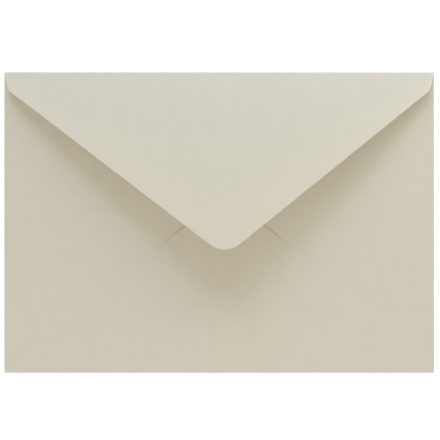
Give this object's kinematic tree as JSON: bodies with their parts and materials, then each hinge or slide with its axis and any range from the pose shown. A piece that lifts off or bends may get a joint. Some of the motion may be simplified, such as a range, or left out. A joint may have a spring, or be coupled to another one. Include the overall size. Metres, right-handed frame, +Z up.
{
  "type": "paper envelope",
  "caption": "Landscape paper envelope folded and glued from one sheet, lying face down with its pointed closure flap unsealed and sprung open a little.",
  "frame": {"origin": "centre of the address side, on the surface that the envelope lies on", "axes": "+X along the width, +Y from the bottom fold to the top fold that carries the closure flap, +Z up out of the paper, through the flap side"},
  "size_m": [0.162, 0.1134, 0.0123],
  "materials": {
    "paper": "matt uncoated cream paper"
  },
  "bodies": {
    "root": {"envelope": "paper"}
  },
  "joints": []
}
